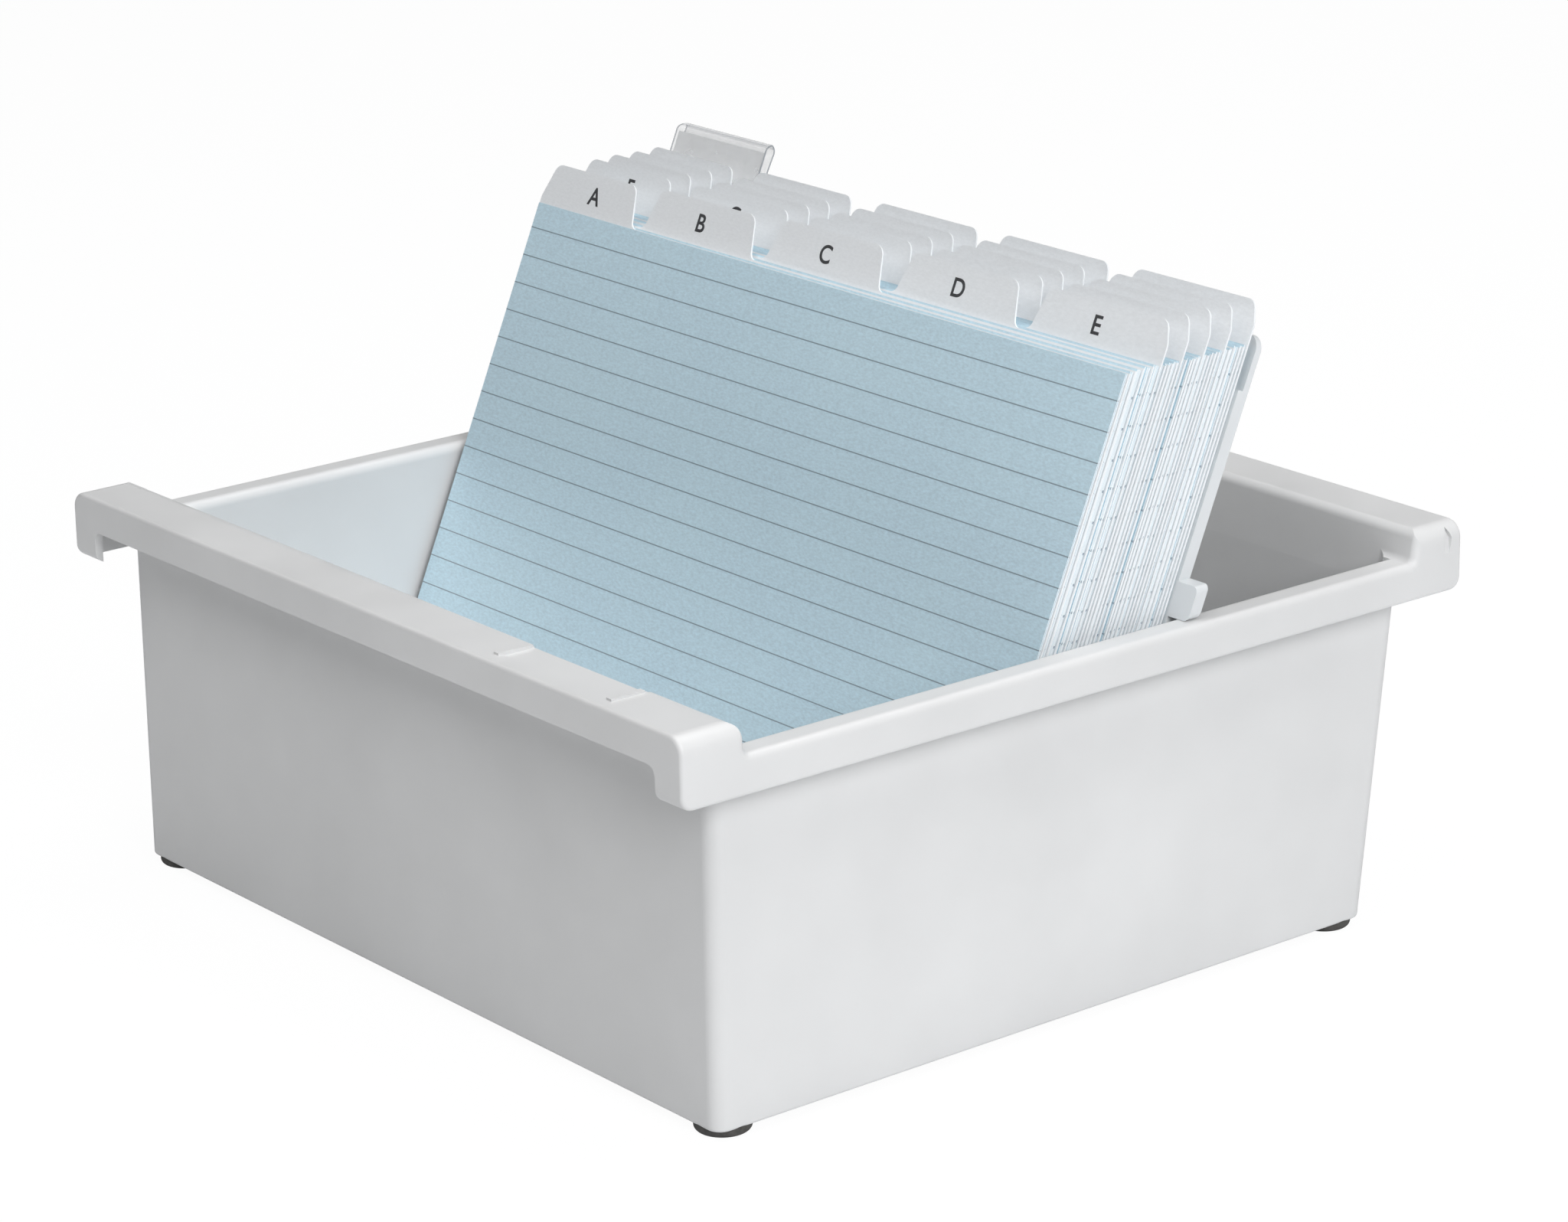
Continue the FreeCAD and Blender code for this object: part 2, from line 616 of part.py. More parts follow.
def build_stack():
    """Every card and guide from front to rear: nodes, pivots and the stack's depth."""
    nodes = {}
    pivots = {}
    pitch = CARD_THICKNESS + CARD_GAP
    end = pack_depth(1 + FRONT_CARDS)
    low = floor_offset(end, SEAT_GAP)
    lead_low = floor_offset(CARD_THICKNESS, SEAT_GAP)
    nodes["front_card"] = sheet(CARD_WIDTH, 0.0, CARD_THICKNESS, lead_low, CARD_HEIGHT)
    nodes["front_cards"] = make_pack(FRONT_CARDS, pitch, low)
    pivots["front_cards"] = pivot_place(0.0, end, low)
    depth = end + SECTION_GAP
    for index, (letter, thickness) in enumerate(SECTIONS):
        count = card_count(thickness)
        cards_at = depth + GUIDE_THICKNESS + CARD_GAP
        end = cards_at + pack_depth(count)
        low = floor_offset(end, SEAT_GAP)
        nodes["guide_" + letter] = make_guide(index % TAB_COLUMNS, depth, low)
        nodes["cards_" + letter] = make_pack(count, cards_at, low)
        pivots["section_" + letter] = pivot_place(depth, end, low)
        depth = end + SECTION_GAP
    return nodes, pivots, depth


def pivot_place(depth, end, low):
    """Where a section rocks: the middle of its lower edge, as (y, z) in the tray."""
    middle = (depth + end) / 2
    y = Y_STACK + middle * math.cos(LEAN) + low * math.sin(LEAN)
    z = Z_FLOOR - middle * math.sin(LEAN) + low * math.cos(LEAN)
    return (y, z)


# ================================================================ support plate
def plate_body(depth):
    """The leaning plate in the drawing frame, with its lip and rear flanges."""
    back = depth + PLATE_THICKNESS
    low = floor_offset(back, PLATE_SEAT_GAP)
    top = PLATE_TOP + depth * math.tan(LEAN)
    half = X_PLATE
    points = [(-half, low), (half, low), (half, top), (-half, top)]
    radii = [0, 0, PLATE_CORNER_RADIUS, PLATE_CORNER_RADIUS]
    face = Part.Face(rounded_outline(points, radii))
    face.translate(Vector(0, depth, 0))
    slab = face.extrude(Vector(0, PLATE_THICKNESS, 0))
    rebate = box(-half - CUT_MARGIN, half + CUT_MARGIN, depth - CUT_MARGIN,
                 back - LIP_THICKNESS, top - LIP_HEIGHT, top + CUT_MARGIN)
    panel_back = depth + PANEL_THICKNESS
    hollow = box(-half + FLANGE_WIDTH, half - FLANGE_WIDTH, panel_back, back + CUT_MARGIN,
                 low + FLANGE_WIDTH, top - LIP_HEIGHT - FLANGE_WIDTH)
    ribs = []
    for i in range(PANEL_RIBS):
        at = -half + 2 * half * (i + 1) / (PANEL_RIBS + 1)
        ribs.append(box(at - PANEL_RIB_WIDTH / 2, at + PANEL_RIB_WIDTH / 2,
                        panel_back, back, low, top - LIP_HEIGHT))
    return slab.cut([rebate, hollow.cut(ribs)]), top


def plate_ear(depth):
    """One ear at the plate's right-hand side, resting on the side rim."""
    bottom = Z_RIM + EAR_SEAT_GAP
    top = bottom + EAR_HEIGHT
    inner = X_PLATE - EAR_ROOT
    outer = X_EAR
    level = box(inner, outer, Y_FRONT, Y_REAR, bottom, top)
    slab = to_lean(box(inner - CUT_MARGIN, outer + CUT_MARGIN,
                       depth, depth + PLATE_THICKNESS, 0, PLATE_TOP))
    ear = level.common(slab)
    outer_edges = edges_where(
        ear, lambda p, d, e: abs(p.x - outer) < 1e-4 and abs(d.x) < 0.1
        and (abs(p.z - top) < 1e-4 or abs(p.z - bottom) < 1e-4))
    return ear.makeFillet(EAR_RADIUS, outer_edges)


def make_plate(depth):
    """Support plate with both ears, in the tray's frame."""
    body, top = plate_body(depth)
    ear = plate_ear(depth)
    plate = to_lean(body).fuse([ear, mirrored(ear)])
    return plate.removeSplitter(), top


# ================================================================ label window
def window_profile(front, lip_back, plate_top):
    """Side view of the clear folded holder, as a closed (depth, height) outline."""
    top = plate_top + WINDOW_RISE
    t = WINDOW_SHEET
    shoulder = top - WINDOW_LOOP
    neck = top - WINDOW_NECK
    foot = plate_top - WINDOW_GRIP
    rear = lip_back + WINDOW_CLEARANCE
    bulge = front + WINDOW_BULGE
    crown = (front + bulge + t) / 2
    outer = [(front, foot), (front, shoulder)]
    outer += [(((front + (crown - front) * 0.30), top - WINDOW_LOOP * 0.28), (crown, top), "arc")]
    outer += [((bulge + t - (bulge + t - crown) * 0.30, top - WINDOW_LOOP * 0.28),
               (bulge + t, shoulder), "arc")]
    outer += [(rear + t, neck), (rear + t, foot), (rear, foot), (rear, neck + t * 0.2)]
    outer += [(bulge, shoulder)]
    outer += [((bulge - (bulge - crown) * 0.30, top - t - (WINDOW_LOOP - t) * 0.28),
               (crown, top - t), "arc")]
    outer += [((front + t + (crown - front - t) * 0.30, top - t - (WINDOW_LOOP - t) * 0.28),
               (front + t, shoulder), "arc")]
    outer += [(front + t, foot)]
    return outer


def make_window(depth, plate_top):
    """The clear label holder clipped over the plate's lip, in the tray's frame."""
    lip_back = depth + PLATE_THICKNESS
    lip_front = lip_back - LIP_THICKNESS
    front = lip_front - WINDOW_CLEARANCE - WINDOW_SHEET
    x0 = -X_PLATE + WINDOW_LEFT
    face = Part.Face(yz_wire(window_profile(front, lip_back, plate_top)))
    face.translate(Vector(x0, 0, 0))
    holder = face.extrude(Vector(WINDOW_WIDTH, 0, 0))
    top = plate_top + WINDOW_RISE
    r = WINDOW_CORNER_RADIUS
    run = WINDOW_BULGE + WINDOW_SHEET + 2 * CUT_MARGIN
    square = box(x0, x0 + r, front - CUT_MARGIN, front - CUT_MARGIN + run,
                 top - r, top + CUT_MARGIN)
    round_off = Part.makeCylinder(r, run, Vector(x0 + r, front - CUT_MARGIN, top - r),
                                  Vector(0, 1, 0))
    return to_lean(holder.cut(square.cut(round_off)))


def make_insert(depth, plate_top):
    """The paper slip behind the window's front sheet, in the tray's frame."""
    lip_front = depth + PLATE_THICKNESS - LIP_THICKNESS
    front = lip_front - WINDOW_CLEARANCE + INSERT_CLEARANCE
    x0 = -X_PLATE + WINDOW_LEFT + INSERT_SIDE_GAP
    x1 = x0 + WINDOW_WIDTH - 2 * INSERT_SIDE_GAP
    low = plate_top + INSERT_CLEARANCE
    top = plate_top + WINDOW_RISE - INSERT_TOP_GAP
    return to_lean(box(x0, x1, front, front + INSERT_THICKNESS, low, top))


# ================================================================ all nodes
def build():
    """Every node of the object, by name."""
    nodes = {"tray": make_tray()}
    for name, fx, fy in foot_places():
        nodes[name] = make_foot(fx, fy)
    stack, pivots, depth = build_stack()
    for name, shape in stack.items():
        nodes[name] = to_lean(shape)
    plate, plate_top = make_plate(depth)
    nodes["support_plate"] = plate
    nodes["label_window"] = make_window(depth, plate_top)
    nodes["label_insert"] = make_insert(depth, plate_top)
    return nodes, pivots


def main():
    """Write one STEP file for each node and print the sizes that the joints need."""
    os.makedirs("parts", exist_ok=True)
    nodes, pivots = build()
    for name, shape in nodes.items():
        shape.exportStep("parts/" + name + ".step")
        box_now = shape.BoundBox
        print("%-18s solids %2d valid %s x %7.2f %7.2f y %7.2f %7.2f z %7.2f %7.2f" % (
            name, len(shape.Solids), shape.isValid(), box_now.XMin, box_now.XMax,
            box_now.YMin, box_now.YMax, box_now.ZMin, box_now.ZMax))
    for name, (y, z) in pivots.items():
        print("pivot %-14s %.4f %.4f" % (name, y, z))


main()
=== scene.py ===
"""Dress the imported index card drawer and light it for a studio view.

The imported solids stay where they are. This script gives each of them its finish, adds
the printed letters and rules, lays single sheets in place of the plain card packs, and
sets up the floor, the lamps and the camera. All lengths are metres in the frame of the
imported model: +X to the right along the front rail, +Y to the rear, +Z up.
"""
import logging
import math
import random
from dataclasses import dataclass, field
from enum import Enum

import bmesh
import bpy
from mathutils import Matrix, Vector


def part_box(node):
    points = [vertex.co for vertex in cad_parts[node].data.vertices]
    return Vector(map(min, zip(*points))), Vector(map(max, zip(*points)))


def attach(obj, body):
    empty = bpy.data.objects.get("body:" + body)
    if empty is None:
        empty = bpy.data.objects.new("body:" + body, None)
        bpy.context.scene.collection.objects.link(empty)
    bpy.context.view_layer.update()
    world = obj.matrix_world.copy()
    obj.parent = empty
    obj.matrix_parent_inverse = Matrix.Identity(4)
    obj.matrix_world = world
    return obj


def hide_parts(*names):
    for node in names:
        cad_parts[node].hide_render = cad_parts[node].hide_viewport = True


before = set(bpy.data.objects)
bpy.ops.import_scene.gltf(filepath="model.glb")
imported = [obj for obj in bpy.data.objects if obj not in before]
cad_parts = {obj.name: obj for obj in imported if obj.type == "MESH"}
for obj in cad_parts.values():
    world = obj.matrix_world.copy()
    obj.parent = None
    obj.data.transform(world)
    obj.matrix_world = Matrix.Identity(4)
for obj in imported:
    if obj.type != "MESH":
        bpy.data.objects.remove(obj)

LOG = logging.getLogger("index_card_drawer")
MM = 0.001


@dataclass(frozen=True)
class Colour:
    """A colour written as on a screen, with each part from 0 to 255."""

    red: float
    green: float
    blue: float

    def linear(self) -> tuple[float, float, float, float]:
        """Return the colour as Blender's shaders take it."""
        return (*(self._part(v) for v in (self.red, self.green, self.blue)), 1.0)

    def scaled(self, factor: float) -> "Colour":
        """Return the same hue, lighter or darker by a factor."""
        return Colour(*(min(255.0, v * factor) for v in (self.red, self.green, self.blue)))

    @staticmethod
    def _part(value: float) -> float:
        """Turn one screen value into a linear one."""
        share = value / 255.0
        return share / 12.92 if share <= 0.04045 else ((share + 0.055) / 1.055) ** 2.4


@dataclass(frozen=True)
class Lean:
    """The backward lean that the cards, the guides and the support plate share."""

    degrees: float = 23.48

    @property
    def angle(self) -> float:
        """Return the lean in radians."""
        return math.radians(self.degrees)

    @property
    def up(self) -> Vector:
        """Return the direction that runs up a leaning sheet."""
        return Vector((0.0, math.sin(self.angle), math.cos(self.angle)))

    def foot(self, node: str, height: float) -> Vector:
        """Find the middle of a leaning node's lower front edge.

        Args:
            node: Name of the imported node.
            height: The node's height, measured up the lean.

        Returns:
            The point on the node's front face, at its lower edge.
        """
        low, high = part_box(node)
        return Vector((0.0, low.y, high.z - height * math.cos(self.angle)))

    def placing(self, foot: Vector) -> Matrix:
        """Return the matrix that takes (across, depth, height) to the frame at a foot."""
        turn = Matrix.Rotation(-self.angle, 4, "X")
        return Matrix.Translation(foot) @ turn


LEAN = Lean()


# ---------------------------------------------------------------- shader building
class Fade(Enum):
    """What a mix node fades, as its type and the places of both inputs and the output."""

    NUMBER = ("FLOAT", 2, 3, 0)
    COLOUR = ("RGBA", 6, 7, 2)


class Surface:
    """A material under construction, with short calls for the nodes that it needs."""

    NOISE_LOW: float = 0.3
    NOISE_HIGH: float = 0.7

    def __init__(self, name: str) -> None:
        """Start a material that has one Principled shader.

        Args:
            name: Name of the material.
        """
        self.material = bpy.data.materials.new(name)
        self.material.use_nodes = True
        self.tree = self.material.node_tree
        self.shader = self.tree.nodes["Principled BSDF"]

    def node(self, kind: str, **inputs: object) -> bpy.types.Node:
        """Add a node and set its inputs.

        Args:
            kind: Blender's type name of the node.
            **inputs: Values or sockets for its inputs, with _ for a space.

        Returns:
            The new node.
        """
        made = self.tree.nodes.new(kind)
        for name, value in inputs.items():
            self.feed(made.inputs[name.replace("_", " ")], value)
        return made

    def feed(self, socket: bpy.types.NodeSocket, value: object) -> None:
        """Link a socket to another socket, or set its value.

        Args:
            socket: The input to feed.
            value: A socket or a plain value.
        """
        if isinstance(value, bpy.types.NodeSocket):
            self.tree.links.new(value, socket)
        else:
            socket.default_value = value

    def point(self, turn: float = 0.0,
              stretch: tuple[float, float, float] = (1, 1, 1)) -> bpy.types.NodeSocket:
        """Add the place on the piece as a point for noise.

        Args:
            turn: Turn about X, in radians.
            stretch: Factor along each axis.

        Returns:
            The turned and stretched point.
        """
        place = self.node("ShaderNodeTexCoord")
        mapping = self.node("ShaderNodeMapping", Vector=place.outputs["Object"],
                            Rotation=(turn, 0.0, 0.0), Scale=stretch)
        return mapping.outputs["Vector"]

    def noise(self, point: bpy.types.NodeSocket, size: float, detail: float = 3.0,
              roughness: float = 0.5) -> bpy.types.NodeSocket:
        """Add cloudy noise.

        Args:
            point: Where on the piece the noise is read.
            size: About how many metres across its patches are.
            detail: How many finer layers it has.
            roughness: How much the finer layers count.

        Returns:
            The noise, from 0 to 1.
        """
        made = self.node("ShaderNodeTexNoise", Vector=point, Scale=1.0 / size,
                         Detail=detail, Roughness=roughness)
        return made.outputs["Fac"]

    def specks(self, point: bpy.types.NodeSocket, spacing: float,
               size: float) -> bpy.types.NodeSocket:
        """Add small round specks.

        Args:
            point: Where on the piece the specks are read.
            spacing: About how many metres they lie apart.
            size: Radius of a speck in metres.

        Returns:
            1 inside a speck, else 0.
        """
        cells = self.node("ShaderNodeTexVoronoi", Vector=point, Scale=1.0 / spacing,
                          Randomness=1.0)
        return self.maths("LESS_THAN", cells.outputs["Distance"], size / spacing)

    def maths(self, operation: str, first: object, second: object = 0.0,
              third: object = 0.0) -> bpy.types.NodeSocket:
        """Add a sum on one to three values.

        Args:
            operation: Blender's name of the sum.
            first: A socket or a number.
            second: A socket or a number.
            third: A socket or a number.

        Returns:
            The result.
        """
        made = self.tree.nodes.new("ShaderNodeMath")
        made.operation = operation
        for socket, value in zip(made.inputs, (first, second, third)):
            self.feed(socket, value)
        return made.outputs["Value"]

    def spread(self, value: bpy.types.NodeSocket, low: float,
               high: float) -> bpy.types.NodeSocket:
        """Map the range that noise keeps to onto another range.

        Args:
            value: The noise.
            low: Result at the noise's usual low.
            high: Result at its usual high.

        Returns:
            The mapped noise, kept inside the new range.
        """
        made = self.node("ShaderNodeMapRange", Value=value, From_Min=self.NOISE_LOW,
                         From_Max=self.NOISE_HIGH, To_Min=low, To_Max=high)
        return made.outputs["Result"]

    def blend(self, share: object, first: object, second: object,
              fade: Fade = Fade.COLOUR) -> bpy.types.NodeSocket:
        """Fade one colour or number into another.

        Args:
            share: Share of the second one, from 0 to 1.
            first: A socket or a plain value.
            second: A socket or a plain value.
            fade: Whether colours or numbers are faded.

        Returns:
            The result.
        """
        kind, from_place, to_place, result_place = fade.value
        made = self.tree.nodes.new("ShaderNodeMix")
        made.data_type = kind
        self.feed(made.inputs["Factor"], share)
        self.feed(made.inputs[from_place], first)
        self.feed(made.inputs[to_place], second)
        return made.outputs[result_place]

    def relief(self, height: bpy.types.NodeSocket, depth: float) -> None:
        """Give the shader a relief.

        Args:
            height: Height of the relief, from 0 to 1.
            depth: Its full height in metres.
        """
        made = self.node("ShaderNodeBump", Height=height, Distance=depth, Strength=1.0)
        self.feed(self.shader.inputs["Normal"], made.outputs["Normal"])

    def facing(self, turn: float) -> tuple[bpy.types.NodeSocket, ...]:
        """Add the direction that the piece's own surface faces.

        Args:
            turn: Turn about X, in radians.

        Returns:
            The turned direction's x, y and z.
        """
        place = self.node("ShaderNodeTexCoord")
        turned = self.node("ShaderNodeVectorRotate", Vector=place.outputs["Normal"],
                           Axis=(1.0, 0.0, 0.0), Angle=turn)
        parts = self.node("ShaderNodeSeparateXYZ", Vector=turned.outputs["Vector"])
        return tuple(parts.outputs[name] for name in "XYZ")

    def set(self, **values: object) -> None:
        """Set values that are the same all over, on the shader's own sockets."""
        for name, value in values.items():
            self.shader.inputs[name.replace("_", " ")].default_value = value


# ---------------------------------------------------------------- finishes
@dataclass(frozen=True)
class MouldedPlastic:
    """Opaque polystyrene with the fine satin grain of the mould."""

    name: str
    colour: Colour
    roughness: float = 0.40
    grain: float = 0.45 * MM
    grain_depth: float = 0.006 * MM
    cloud: float = 45 * MM
    cloud_share: float = 0.035
    fleck_spacing: float = 34 * MM
    fleck_size: float = 0.22 * MM
    fleck_share: float = 0.35
    fleck_shade: float = 0.55
    flow: float = 12 * MM
    flow_stretch: float = 0.35
    flow_gloss: float = 0.05
    flow_dull: float = 0.06
    refraction: float = 1.5

    def material(self) -> bpy.types.Material:
        """Build the finish.

        Returns:
            The material.
        """
        surface = Surface(self.name)
        point = surface.point()
        clouds = surface.spread(surface.noise(point, self.cloud), 0.0, 1.0)
        tone = surface.blend(clouds, self.colour.scaled(1.0 - self.cloud_share).linear(),
                             self.colour.linear())
        flecks = surface.specks(point, self.fleck_spacing, self.fleck_size)
        share = surface.maths("MULTIPLY", flecks, self.fleck_share)
        tone = surface.blend(share, tone, self.colour.scaled(self.fleck_shade).linear())
        surface.feed(surface.shader.inputs["Base Color"], tone)
        flow = surface.noise(surface.point(stretch=(1.0, 1.0, self.flow_stretch)),
                             self.flow, detail=4.0)
        surface.feed(surface.shader.inputs["Roughness"],
                     surface.spread(flow, self.roughness - self.flow_gloss,
                                    self.roughness + self.flow_dull))
        surface.relief(surface.noise(point, self.grain, detail=2.0), self.grain_depth)
        surface.set(IOR=self.refraction)
        return surface.material


@dataclass(frozen=True)
class Rubber:
    """Dark matt rubber with a little dust on it."""

    name: str
    colour: Colour
    dust: Colour
    grain: float = 0.6 * MM
    grain_depth: float = 0.03 * MM
    dust_patch: float = 2.2 * MM
    dust_share: float = 0.45
    wear_patch: float = 1.5 * MM
    roughness: tuple[float, float] = (0.62, 0.82)

    def material(self) -> bpy.types.Material:
        """Build the finish.

        Returns:
            The material.
        """
        surface = Surface(self.name)
        point = surface.point()
        specks = surface.noise(point, self.dust_patch, detail=5.0, roughness=0.6)
        dust = surface.spread(specks, 0.0, self.dust_share)
        surface.feed(surface.shader.inputs["Base Color"],
                     surface.blend(dust, self.colour.linear(), self.dust.linear()))
        surface.feed(surface.shader.inputs["Roughness"],
                     surface.spread(surface.noise(point, self.wear_patch),
                                    *self.roughness))
        surface.relief(surface.noise(point, self.grain), self.grain_depth)
        return surface.material


@dataclass(frozen=True)
class SheetStock:
    """Card or thin sheet with a painted highlight on its cut edges, which makes them paler
    than its faces.
    """

    name: str
    face: Colour
    # Colour of the cut edges: a painted highlight that stands in for light falling on them.
    painted_edge: Colour
    roughness: float = 0.62
    refraction: float = 1.45
    face_from: float = 0.5
    fibre: float = 0.5 * MM
    fibre_depth: float = 0.008 * MM
    fibre_share: float = 0.05
    fibre_stretch: float = 0.45
    gloss_spread: tuple[float, float] = (-0.06, 0.08)
    cloud: float = 38 * MM
    cloud_share: float = 0.10
    cloud_shade: float = 1.12
    dull_share: float = 0.40
    dull_shade: float = 0.90
    dull_power: float = 3.0
    marked_from: float = 0.62
    tone_attribute: str = ""
    height_attribute: str = ""
    rule_ink: Colour = Colour(150, 168, 180)
    rule_first: float = 6.1 * MM
    rule_pitch: float = 6.95 * MM
    rule_width: float = 0.26 * MM
    rule_bleed: float = 0.55 * MM

    def material(self) -> bpy.types.Material:
        """Build the finish.

        Returns:
            The material.
        """
        surface = Surface(self.name)
        point = surface.point(turn=LEAN.angle)
        _, depth_way, _ = surface.facing(LEAN.angle)
        flat = surface.maths("GREATER_THAN", surface.maths("ABSOLUTE", depth_way),
                             self.face_from)
        along = surface.point(turn=LEAN.angle, stretch=(self.fibre_stretch, 1.0, 1.0))
        fibres = surface.noise(along, self.fibre, detail=5.0, roughness=0.65)
        worn = surface.spread(fibres, 0.0, 1.0)
        face = surface.blend(worn, self.face.scaled(1.0 - self.fibre_share).linear(),
                             self.face.scaled(1.0 + self.fibre_share).linear())
        clouds = surface.spread(surface.noise(point, self.cloud), 0.0, self.cloud_share)
        face = surface.blend(clouds, face, self.face.scaled(self.cloud_shade).linear())
        # Painted highlight: the cut edges take the paler edge colour instead of the face
        # colour.
        tone = surface.blend(flat, self.painted_edge.linear(), face)
        if self.tone_attribute:
            tone = self.printed(surface, tone, flat)
        surface.feed(surface.shader.inputs["Base Color"], tone)
        low, high = (self.roughness + change for change in self.gloss_spread)
        surface.feed(surface.shader.inputs["Roughness"], surface.spread(fibres, low, high))
        surface.relief(fibres, self.fibre_depth)
        surface.set(IOR=self.refraction)
        return surface.material

    def printed(self, surface: Surface, tone: bpy.types.NodeSocket,
                flat: bpy.types.NodeSocket) -> bpy.types.NodeSocket:
        """Add each sheet's own tone, its rules and the marks they leave on its edges.

        Args:
            surface: The material under construction.
            tone: Colour of the bare sheet.
            flat: 1 on the sheet's faces and 0 on its cut edges.

        Returns:
            The colour with the print.
        """
        sheet = surface.node("ShaderNodeAttribute")
        sheet.attribute_name = self.tone_attribute
        own = sheet.outputs["Fac"]
        dull = surface.maths("MULTIPLY", surface.maths("POWER", own, self.dull_power),
                             self.dull_share)
        tone = surface.blend(dull, tone, self.face.scaled(self.dull_shade).linear())
        place = surface.node("ShaderNodeAttribute")
        place.attribute_name = self.height_attribute
        from_rule = surface.maths("SUBTRACT", place.outputs["Fac"], self.rule_first)
        nearest = surface.maths("PINGPONG", from_rule, self.rule_pitch / 2)
        below_first = surface.maths("GREATER_THAN", from_rule, -self.rule_width)
        line = surface.maths("LESS_THAN", nearest, self.rule_width / 2)
        mark = surface.maths("LESS_THAN", nearest, self.rule_bleed / 2)
        chosen = surface.maths("GREATER_THAN", own, self.marked_from)
        marked = surface.maths("MULTIPLY", mark, chosen)
        inked = surface.blend(flat, marked, line, Fade.NUMBER)
        share = surface.maths("MULTIPLY", inked, below_first)
        return surface.blend(share, tone, self.rule_ink.linear())


@dataclass(frozen=True)
class PrintInk:
    """Matt printing ink, a little thin in places."""

    name: str
    colour: Colour
    thin: Colour
    thin_patch: float = 0.7 * MM
    thin_share: float = 0.6
    gloss_patch: float = 1.0 * MM
    roughness: tuple[float, float] = (0.45, 0.65)

    def material(self) -> bpy.types.Material:
        """Build the finish.

        Returns:
            The material.
        """
        surface = Surface(self.name)
        point = surface.point(turn=LEAN.angle)
        thinning = surface.noise(point, self.thin_patch, detail=4.0, roughness=0.7)
        patches = surface.spread(thinning, 0.0, self.thin_share)
        surface.feed(surface.shader.inputs["Base Color"],
                     surface.blend(patches, self.colour.linear(), self.thin.linear()))
        surface.feed(surface.shader.inputs["Roughness"],
                     surface.spread(surface.noise(point, self.gloss_patch),
                                    *self.roughness))
        return surface.material


@dataclass(frozen=True)
class ClearFilm:
    """Clear folded plastic film, with painted shade that draws its cut edges and the top of
    its fold darker grey and more opaque than its faces.
    """

    name: str
    colour: Colour
    # Colour of the cut edges and the fold top: a painted shade, dark grey.
    painted_edge: Colour
    cover: float = 0.22
    edge_cover: float = 0.80
    cover_spread: float = 0.05
    haze: float = 9 * MM
    roughness: tuple[float, float] = (0.06, 0.18)
    side_from: float = 0.6
    crown_from: float = 0.55
    crown_share: float = 0.45
    wave: float = 14 * MM
    wave_depth: float = 0.01 * MM
    refraction: float = 1.49

    def material(self) -> bpy.types.Material:
        """Build the finish.

        Returns:
            The material.
        """
        surface = Surface(self.name)
        point = surface.point()
        haze = surface.noise(point, self.haze, detail=4.0)
        surface.feed(surface.shader.inputs["Roughness"],
                     surface.spread(haze, *self.roughness))
        # Painted shade: the film's cut edges and the top of its fold are drawn darker grey
        # and more opaque.
        across, _, up = surface.facing(LEAN.angle)
        side = surface.maths("GREATER_THAN", surface.maths("ABSOLUTE", across),
                             self.side_from)
        crown = surface.maths("GREATER_THAN", surface.maths("ABSOLUTE", up),
                              self.crown_from)
        top = surface.maths("MULTIPLY", crown, self.crown_share)
        painted_shade_mask = surface.maths("MAXIMUM", side, top)
        surface.feed(surface.shader.inputs["Base Color"],
                     surface.blend(painted_shade_mask, self.colour.linear(), self.painted_edge.linear()))
        clear = surface.spread(haze, self.cover, self.cover + self.cover_spread)
        edges = surface.maths("MULTIPLY", painted_shade_mask, self.edge_cover)
        cover = surface.maths("MAXIMUM", clear, edges)
        surface.feed(surface.shader.inputs["Alpha"], cover)
        surface.relief(surface.noise(point, self.wave, detail=2.0), self.wave_depth)
        surface.set(IOR=self.refraction)
        return surface.material


# ---------------------------------------------------------------- pieces
def mesh_piece(name: str, shape: bmesh.types.BMesh,
               material: bpy.types.Material) -> bpy.types.Object:
    """Turn a finished bmesh into an object at the origin.

    Args:
        name: Name of the piece.
        shape: The mesh, already in its place; it is freed.
        material: The finish of the whole piece.

    Returns:
        The linked object.
    """
    mesh = bpy.data.meshes.new(name)
    shape.to_mesh(mesh)
    shape.free()
    mesh.materials.append(material)
    piece = bpy.data.objects.new(name, mesh)
    bpy.context.scene.collection.objects.link(piece)
    return piece


def dress(node: str, material: bpy.types.Material) -> None:
    """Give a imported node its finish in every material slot.

    Args:
        node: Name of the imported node.
        material: Its finish.
    """
    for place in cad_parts[node].material_slots:
        place.material = material
    LOG.info("node %s: %s", node, material.name)


@dataclass
class Tray:
    """The moulded tray on its four rubber feet."""

    plastic: MouldedPlastic = MouldedPlastic("light_grey_polystyrene",
                                             Colour(228, 228, 228))
    rubber: Rubber = Rubber("foot_rubber", Colour(66, 64, 62), Colour(112, 110, 107))
    feet: tuple[str, ...] = ("foot_front_left", "foot_front_right", "foot_rear_left",
                             "foot_rear_right")

    def build(self) -> None:
        """Dress the tray and its feet."""
        dress("tray", self.plastic.material())
        rubber = self.rubber.material()
        for foot in self.feet:
            dress(foot, rubber)


@dataclass
class SupportPlate:
    """The leaning plate that the cards rest against."""

    plastic: MouldedPlastic = MouldedPlastic("plate_polystyrene", Colour(226, 229, 231))

    def build(self) -> None:
        """Dress the plate."""
        dress("support_plate", self.plastic.material())


@dataclass
class LabelWindow:
    """The clear holder on the plate's top edge, with its paper slip."""

    # The dark grey is painted shade on the film's cut edges and fold top.
    film: ClearFilm = ClearFilm("clear_film", Colour(252, 253, 254), Colour(158, 164, 170))
    paper: SheetStock = SheetStock("label_paper", Colour(250, 250, 251),
                                   Colour(240, 241, 243))

    def build(self) -> None:
        """Dress the holder and the slip."""
        dress("label_window", self.film.material())
        dress("label_insert", self.paper.material())


